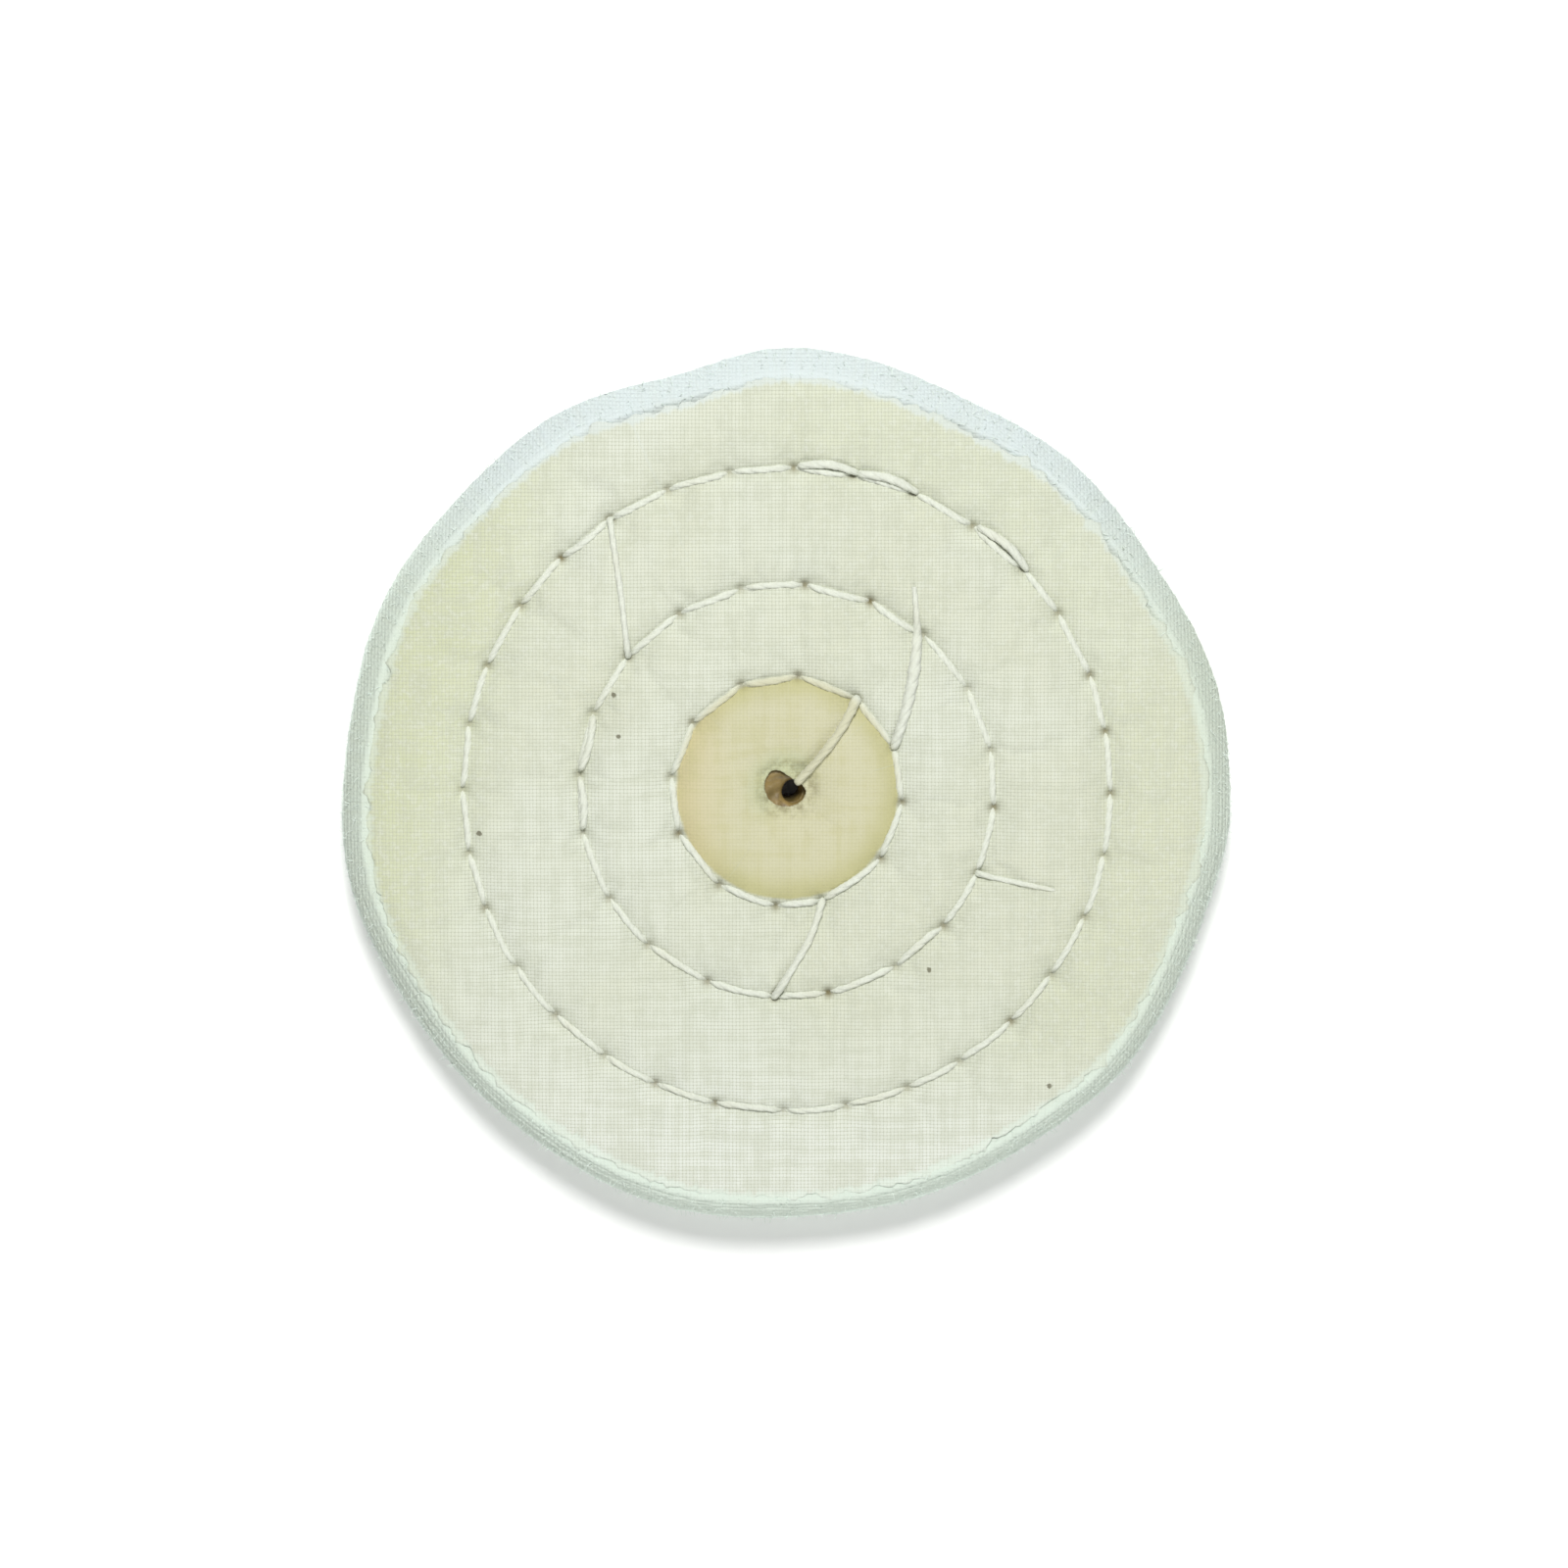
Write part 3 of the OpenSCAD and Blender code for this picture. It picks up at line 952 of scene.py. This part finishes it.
# runs a node tree on an object, which is used up, and returns the result as a plain mesh object
def runTree(source, tree, values, name):
    modifier = source.modifiers.new("tree", "NODES")
    modifier.node_group = tree
    for item in tree.interface.items_tree:
        if item.item_type == "SOCKET" and item.in_out == "INPUT" and item.name in values:
            modifier[item.identifier] = values[item.name]
    bpy.context.view_layer.update()
    graph = bpy.context.evaluated_depsgraph_get()
    mesh = bpy.data.meshes.new_from_object(source.evaluated_get(graph), depsgraph=graph)
    mesh.name = name
    source.modifiers.remove(modifier)
    bpy.data.objects.remove(source)
    return placed(name, mesh)


# a curve object with one open spline for each list of points in mm, as thick as its (start, middle, end)
def curveObject(name, lines, widths=None):
    data = bpy.data.curves.new(name, "CURVE")
    data.dimensions = "3D"
    data.twist_mode = "MINIMUM"
    for line, width in zip(lines, widths or [(1, 1, 1)] * len(lines)):
        spline = data.splines.new("POLY")
        spline.points.add(len(line) - 1)
        spline.points.foreach_set("radius", np.interp(np.linspace(0, 2, len(line)), [0, 1, 2], width))
        flat = np.concatenate([np.asarray(line) * mm, np.ones((len(line), 1))], axis=1)
        spline.points.foreach_set("co", flat.astype(np.float32).ravel())
    return placed(name, data)


def rounded(points, passes=3):  # corner cutting, which keeps the ends
    line = np.asarray(points, float)
    for _ in range(passes):
        a, b = line[:-1], line[1:]
        cut = np.stack([a * 0.75 + b * 0.25, a * 0.25 + b * 0.75], axis=1).reshape(-1, 3)
        line = np.concatenate([line[:1], cut[1:-1], line[-1:]])
    return line


# one path for each stitch: up out of a needle hole, over the cloth and down the next one
def stitchPaths(ring, radii, z, rng):
    spec = threadSpec
    bearings = ring["bearings"]
    paths = []
    for k in range(len(bearings)):
        b0, b1 = bearings[k], bearings[(k + 1) % len(bearings)]
        start, end = at(ring["radius"], b0), at(ring["radius"], b1)
        way = (end - start) / np.linalg.norm(end - start)
        start, end = start + way * spec["strandApart"], end - way * spec["strandApart"]
        across = np.array([-way[1], way[0]])
        length = np.linalg.norm(end - start)
        d = np.concatenate([np.linspace(0, 1.2, 5), np.linspace(1.2, length - 1.2, 7)[1:-1],
                            length - np.linspace(1.2, 0, 5)])
        t = d / length
        slantIn, slantOut, bow = rng.uniform(-1, 1, 3) * spec["slant"]
        fade = np.minimum(smooth(d / 1.5), smooth((length - d) / 1.5))
        drift = (slantIn * (1 - t) + slantOut * t) * fade + bow * np.sin(np.pi * t) * 0.6
        xy = start + way * d[:, None] + across * drift[:, None]
        surface = clothHeight(xy, radii, z)
        dive = np.minimum(smooth(d / spec["diveLength"]), smooth((length - d) / spec["diveLength"]))
        lift = (spec["radius"] - spec["sink"]) * dive - spec["radius"] * 0.9 * (1 - dive)
        over = np.concatenate([xy, (surface + lift)[:, None]], axis=1)
        foot = spec["footHeight"]
        up = [[*start, foot], [*start, over[0, 2] - 1.0], [*start, over[0, 2] - 0.3]]
        down = [[*end, over[-1, 2] - 0.3], [*end, over[-1, 2] - 1.0], [*end, foot]]
        paths.append(rounded(np.concatenate([up, over, down]), 2))
    return paths


# a loose length of thread lying on the face through stops in mm. dive says which ends go down into the cloth
def laidPath(stops, radii, z, lift, dive):
    stops = np.asarray(stops, float)
    line = rounded(np.concatenate([stops, np.zeros((len(stops), 1))], axis=1), 3)[:, :2]
    gaps = np.linalg.norm(np.diff(line, axis=0), axis=1)
    along = np.concatenate([[0], np.cumsum(gaps)])
    s = np.linspace(0, along[-1], max(int(along[-1] / 0.5), 6))
    xy = np.stack([np.interp(s, along, line[:, k]) for k in range(2)], axis=1)
    height = clothHeight(xy, radii, z)
    window = np.array([height[max(0, i - 3):i + 4].max() for i in range(len(height))])
    heights = window * 0.35 + height * 0.65 + lift
    points = np.concatenate([xy, heights[:, None]], axis=1)
    if dive[0]:
        points = np.concatenate([[points[0] - [0, 0, threadSpec["looseDepth"]]], points])
    if dive[1]:
        points = np.concatenate([points, [points[-1] - [0, 0, threadSpec["looseDepth"]]]])
    return rounded(points, 2)


yarnTree = makeYarnTree()
rng = np.random.default_rng(21)
needlePaths = []
for ring in ringSpecs:
    needlePaths += stitchPaths(ring, faceR, faceZ, rng)


def holeOf(ring, k):
    return at(ringSpecs[ring]["radius"], ringSpecs[ring]["bearings"][k])


widths = [(1, 1, 1)] * len(needlePaths)   # how thick each is at its start, middle and end


def layLoose(stops, width, dive, sunk):  # a loose length lying on the face, and how thick it is
    lift = threadSpec["radius"] * width[1] * 0.7 - sunk
    needlePaths.append(laidPath(stops, faceR, faceZ, lift, dive))
    widths.append(width)


layLoose([holeOf(0, 1), at(9.6, 41), at(5.0, 44), at(1.7, 50)], (1.3, 1.2, 1.05), (True, True), 0.1)
layLoose([holeOf(0, 5), at(17.0, 170), at(20.5, 178), holeOf(1, 10)], (0.95, 0.95, 0.95), (True, True), 0.15)
layLoose([holeOf(1, 17), at(30.0, 320.5), holeOf(2, 29)], (0.85, 0.8, 0.9), (True, True), 0.2)
layLoose([holeOf(0, 2), at(17.6, 53.5), at(23.4, 40.8), at(28.2, 31.5)], (1.2, 1.7, 0.6), (True, False), 0.55)
layLoose([holeOf(1, 6), at(28.5, 111.5), at(33.2, 110)], (0.8, 0.7, 0.5), (True, True), 0.2)
for k, apart in ((0, 0.95), (1, 0.9), (3, 1.0)):   # the rows overlap where the stitching was begun and ended
    ring = ringSpecs[2]
    b0, b1 = ring["bearings"][k] + 1.2, ring["bearings"][k + 1] + 0.6
    layLoose([at(ring["radius"] + apart * 0.3, b0), at(ring["radius"] + apart, (b0 + b1) / 2),
              at(ring["radius"] + apart * 0.3, b1)], (0.9, 1.25, 0.9), (True, True), 0.25)
for k in (14, 15):   # and once more on the middle ring
    ring = ringSpecs[1]
    b0, b1 = ring["bearings"][k] + 2.0, ring["bearings"][k + 1] - 1.5
    layLoose([at(ring["radius"] - 0.2, b0), at(ring["radius"] - 0.75, (b0 + b1) / 2),
              at(ring["radius"] - 0.2, b1)], (0.9, 1.1, 0.9), (True, True), 0.2)
yarnValues = {
    "Radius": threadSpec["radius"] * mm,
    "Twist Length": threadSpec["twistLength"] * mm,
    "Step": threadSpec["step"] * mm,
    "Material": threadWhite,
}
needleYarn = runTree(curveObject("needlePaths", needlePaths, widths), yarnTree, yarnValues, "needle_yarn")
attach(needleYarn, "root")
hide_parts("needle_thread")
for number, word in enumerate(("inner", "middle", "outer")):
    paths = [p * np.array([1, 1, -1]) for p in stitchPaths(ringSpecs[number], backR, backZ, rng)]
    for path in paths:   # pressed flat by the wheel's own weight
        path[:, 2] = np.maximum(path[:, 2], -wheelSpec["halfThickness"] + threadSpec["radius"])
    yarn = runTree(curveObject("bobbinPaths", paths), yarnTree, yarnValues, "bobbin_yarn_" + word)
    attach(yarn, "root")
    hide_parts("bobbin_thread_" + word)
print("threads made")

# fluff on the cut edges
fluffSpec = {
    "hairs": 6500,
    "length": 0.95,       # mm
    "thickness": 0.1,     # mm
    "bend": 2.4,          # thicknesses that a hair's tip hangs over
    "arc": (-58, 88),     # degrees of the rim's round that it covers, from underneath to the top
    "seed": 5,
}


def makeHair(name, material):  # one bent, tapering hair a unit long, growing along Z
    data = bpy.data.meshes.new(name)
    rows, points, faces = 4, [], []
    for i in range(rows):
        t = i / (rows - 1)
        for k in range(3):
            a = 2 * math.pi * k / 3
            radius = 0.5 * (1 - 0.7 * t)
            points.append((radius * math.cos(a) + fluffSpec["bend"] * t * t, radius * math.sin(a), t))
    for i in range(rows - 1):
        for k in range(3):
            m = (k + 1) % 3
            faces.append((3 * i + k, 3 * i + m, 3 * i + 3 + m, 3 * i + 3 + k))
    faces += [(2, 1, 0), (3 * rows - 3, 3 * rows - 2, 3 * rows - 1)]
    data.from_pydata(points, [], faces)
    data.materials.append(material)
    return bpy.data.objects.new(name, data)


def makeFluffTree(hair):  # scatters hairs over a surface, leaning at random
    tree, given, result = geometryTree("fluff", [
        ("Density", "NodeSocketFloat"), ("Seed", "NodeSocketInt"), ("Length", "NodeSocketFloat"),
        ("Thickness", "NodeSocketFloat"), ("Material", "NodeSocketMaterial")])
    scattered = addNode(tree, "GeometryNodeDistributePointsOnFaces", {"distribute_method": "RANDOM"},
                        {"Mesh": given.outputs["Geometry"], "Density": given.outputs["Density"],
                         "Seed": given.outputs["Seed"]})
    hairInfo = addNode(tree, "GeometryNodeObjectInfo", None, {"Object": hair})
    lean = addNode(tree, "FunctionNodeRandomValue", {"data_type": "FLOAT_VECTOR"},
                   {0: (-1.4, -1.4, -3.14), 1: (1.4, 1.4, 3.14), "Seed": 3})
    leaned = addNode(tree, "FunctionNodeRotateRotation", {"rotation_space": "LOCAL"},
                     {0: scattered.outputs["Rotation"], 1: lean.outputs[0]})
    tall = addNode(tree, "FunctionNodeRandomValue", {"data_type": "FLOAT"}, {2: 0.35, 3: 1.25, "Seed": 9})
    height = addNode(tree, "ShaderNodeMath", {"operation": "MULTIPLY"},
                     {0: tall.outputs[1], 1: given.outputs["Length"]})
    size = addNode(tree, "ShaderNodeCombineXYZ", None,
                   {0: given.outputs["Thickness"], 1: given.outputs["Thickness"], 2: height.outputs[0]})
    placed = addNode(tree, "GeometryNodeInstanceOnPoints", None,
                     {"Points": scattered.outputs["Points"], "Instance": hairInfo.outputs["Geometry"],
                      "Rotation": leaned.outputs[0], "Scale": size.outputs[0]})
    real = addNode(tree, "GeometryNodeRealizeInstances", None, {"Geometry": placed.outputs[0]})
    painted = addNode(tree, "GeometryNodeSetMaterial", None,
                      {"Geometry": real.outputs[0], "Material": given.outputs["Material"]})
    tree.links.new(painted.outputs[0], result.inputs[0])
    return tree


def rimBand():  # the surface over the plies' cut edges, and its area in m2
    bearings = np.linspace(0, 360, 180, endpoint=False)
    b = np.radians(bearings)
    flat = cadHigh.x / mm - wheelSpec["rimRound"]
    rows = []
    for a in np.radians(np.linspace(*fluffSpec["arc"], 15)):
        r = flat * outline(bearings) + (wheelSpec["rimRound"] - 0.15) * np.cos(a)
        z = (wheelSpec["halfThickness"] - 0.45) * np.sin(a) + rimWave(bearings, r, 0)
        rows.append(np.stack([r * np.sin(b), r * np.cos(b), z], axis=-1))
    rows = np.array(rows)
    faces = gridFaces(len(rows), len(b))[:, ::-1]
    faces = np.roll(faces, 1, axis=1)   # the first corner sets how a quad is split
    mesh = bpy.data.meshes.new("rimBand")
    mesh.from_pydata((rows.reshape(-1, 3) * mm).tolist(), [], faces.tolist())
    return placed("rimBand", mesh), sum(p.area for p in mesh.polygons)


hair = makeHair("hair", fluffWhite)
band, bandArea = rimBand()
fluff = runTree(band, makeFluffTree(hair), {
    "Density": fluffSpec["hairs"] / bandArea, "Seed": fluffSpec["seed"], "Length": fluffSpec["length"] * mm,
    "Thickness": fluffSpec["thickness"] * mm, "Material": fluffWhite}, "edge_fluff")
bpy.data.objects.remove(hair)
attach(fluff, "root")
print("fluff made:", len(fluff.data.polygons), "faces")

# shellac core
coreSpec = {
    "boreRadius": 1.37,        # mm
    "boreRough": 0.09,         # mm
    "outerRadius": 3.3,        # mm
    "outerRough": 0.06,        # mm
    "mouthShift": (0.72, -0.12),   # mm that runs of shellac push the bore's upper mouth aside
    "mouthDepth": 2.6,         # mm
    "sunk": 0.95,              # mm from the solid lining's top down to this one's
    "below": 0.5,              # mm from its top down to the lip of the bore
    "drops": (0.12, 0.3, 0.5),   # mm under that lip of the bore's last rings
    "bearings": 96,
    "levels": 26,
}


def makeCore(spec):  # the hardened lining of the hole: a rough tube, chipped and run at its mouths
    rng = np.random.default_rng(7)
    b = np.radians(np.linspace(0, 360, spec["bearings"], endpoint=False))
    low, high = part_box("shellac_core")
    bottom, top = low.z / mm + 0.2, high.z / mm - spec["sunk"]
    heights = np.linspace(bottom, top, spec["levels"])

    def roughness(waves):
        field = np.zeros((len(heights), len(b)))
        for w in waves:
            for tall in (0.0, 1.1, 2.3):
                phase = w * b[None, :] + tall * heights[:, None] + rng.uniform(0, 6.3)
                field += rng.uniform(-1, 1) * np.cos(phase) / (w + 1)
        return field

    mouth = smooth((heights - (top - spec["mouthDepth"])) / spec["mouthDepth"])[:, None]
    bore = spec["boreRadius"] + spec["boreRough"] * roughness((1, 2, 3, 5, 8))
    shiftX, shiftY = spec["mouthShift"]
    inner = np.stack([bore * np.sin(b) + shiftX * mouth, bore * np.cos(b) + shiftY * mouth,
                      np.broadcast_to(heights[:, None], bore.shape)], axis=-1)
    wall = spec["outerRadius"] + spec["outerRough"] * roughness((2, 3, 5))
    outer = np.stack([wall * np.sin(b), wall * np.cos(b),
                      np.broadcast_to(heights[:, None], wall.shape)], axis=-1)
    lip = []
    for t in np.linspace(0, 1, 9)[1:-1]:   # the run between the bore's mouth and the wall
        ringPoints = inner[-1] * (1 - t) + outer[-1] * t
        lumps = 0.16 * np.cos(3 * b + 1.1 + 2 * t) * t + 0.1 * np.cos(7 * b + 9 * t)
        ringPoints[:, 2] = top - spec["below"] * (1 - t) ** 1.4 + lumps * (1 - t) * t * 4
        lip.append(ringPoints)
    for back, drop in enumerate(spec["drops"], 1):
        inner[-back, :, 2] = np.minimum(inner[-back, :, 2], top - spec["below"] - drop)
    rows = [*inner, *lip, *outer[::-1]]
    faces = gridFaces(len(rows), len(b), closed=True)
    mesh = bpy.data.meshes.new("shellac_lining")
    mesh.from_pydata((np.concatenate(rows) * mm).tolist(), [], faces.tolist())
    mesh.shade_smooth()
    mesh.materials.append(shellacBrown)
    return placed("shellac_lining", mesh)


core = makeCore(coreSpec)
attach(core, "root")
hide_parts("shellac_core")
print("core made")

# floor
bpy.ops.mesh.primitive_plane_add(size=stageSpec["floorSize"], location=(0, 0, cadLow.z - 0.0001))
floor = bpy.context.object
floor.name = "floor"
floor.data.materials.append(makeFloor("paleFloor"))

wheelWide = cadHigh.x - cadLow.x
for index, piece in sorted(plies.items()):
    u = min(abs(2 * index / last - 1), 0.9995)   # how far from mid-thickness
    radius = wheelWide / 2 - wheelSpec["rimRound"] * mm * (1 - math.sqrt(1 - u ** 2))
    below = [plies[index - 1].name] if index else []
